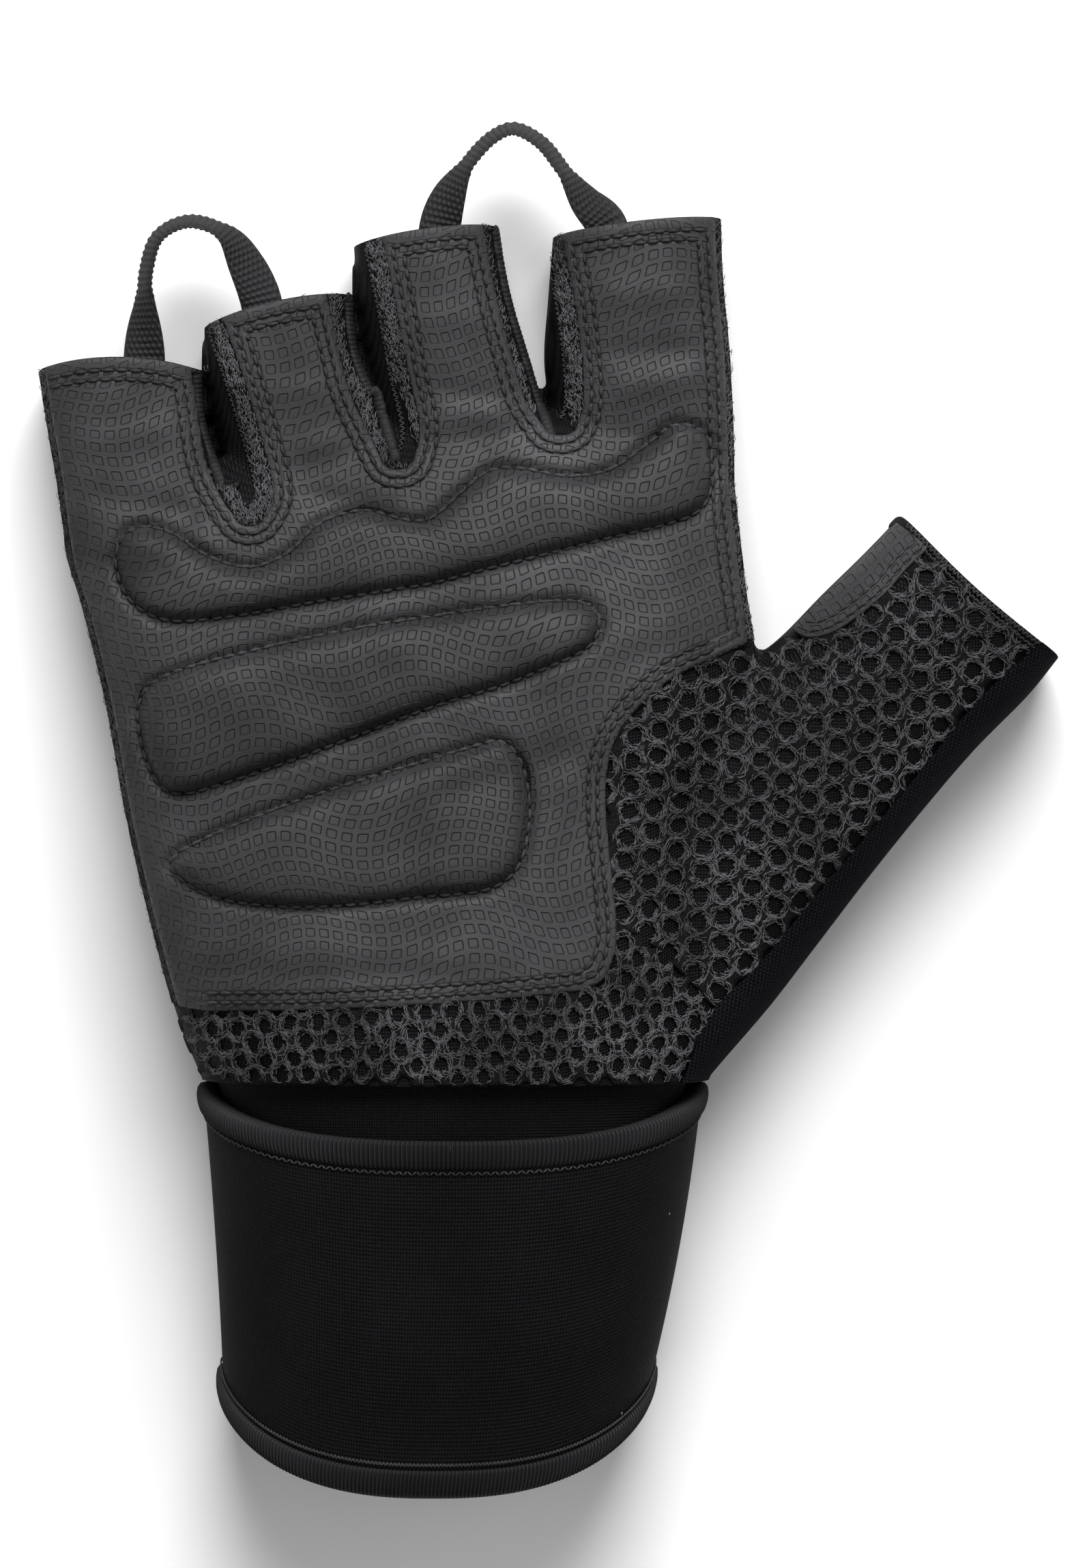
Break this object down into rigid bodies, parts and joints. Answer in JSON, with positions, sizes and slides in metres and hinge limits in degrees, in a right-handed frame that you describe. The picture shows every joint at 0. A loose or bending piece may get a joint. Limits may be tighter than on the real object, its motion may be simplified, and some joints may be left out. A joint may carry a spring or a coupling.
{
  "type": "weightlifting glove",
  "caption": "Fingerless weightlifting glove for the right hand, with embossed leather palm, raised pads, mesh thumb, finger pull loops and a wide wrist wrap.",
  "frame": {"origin": "middle of the underside of the whole glove, where its back rests on the surface", "axes": "+Y from the wrist toward the fingers, +X toward the thumb, +Z out of the palm"},
  "size_m": [0.1622, 0.2166, 0.0385],
  "materials": {
    "palm_leather": "charcoal synthetic leather, embossed with small outlined squares, matte",
    "pad_leather": "the same embossed charcoal leather over soft padding",
    "back_knit": "smooth black stretch knit with a faint sheen",
    "air_mesh": "fuzzy dark grey air mesh with round holes over a black backing",
    "thumb_fleece": "brushed black fleece with a faint blue cast",
    "strap_knit": "near black fine knit over foam",
    "elastic_binding": "ribbed elastic edge binding",
    "webbing": "woven grosgrain webbing with cross ribs"
  },
  "bodies": {
    "root": {"palm_panel": "palm_leather", "pad_upper": "pad_leather", "pad_middle": "pad_leather", "pad_lower": "pad_leather", "thumb_patch": "palm_leather", "back_panel": "back_knit", "gusset_outer": "air_mesh", "gusset_pinky_ring": "air_mesh", "gusset_ring_middle": "air_mesh", "gusset_middle_index": "air_mesh", "gusset_index_side": "air_mesh", "thumb_mesh": "air_mesh", "thumb_rim": "air_mesh", "thumb_band": "thumb_fleece", "heel_mesh": "air_mesh", "wrist_collar": "back_knit", "wrist_strap": "strap_knit", "strap_closure": "strap_knit", "strap_binding_top": "elastic_binding", "strap_binding_bottom": "elastic_binding", "loop_pinky_ring": "webbing", "loop_middle_index": "webbing"}
  },
  "joints": []
}
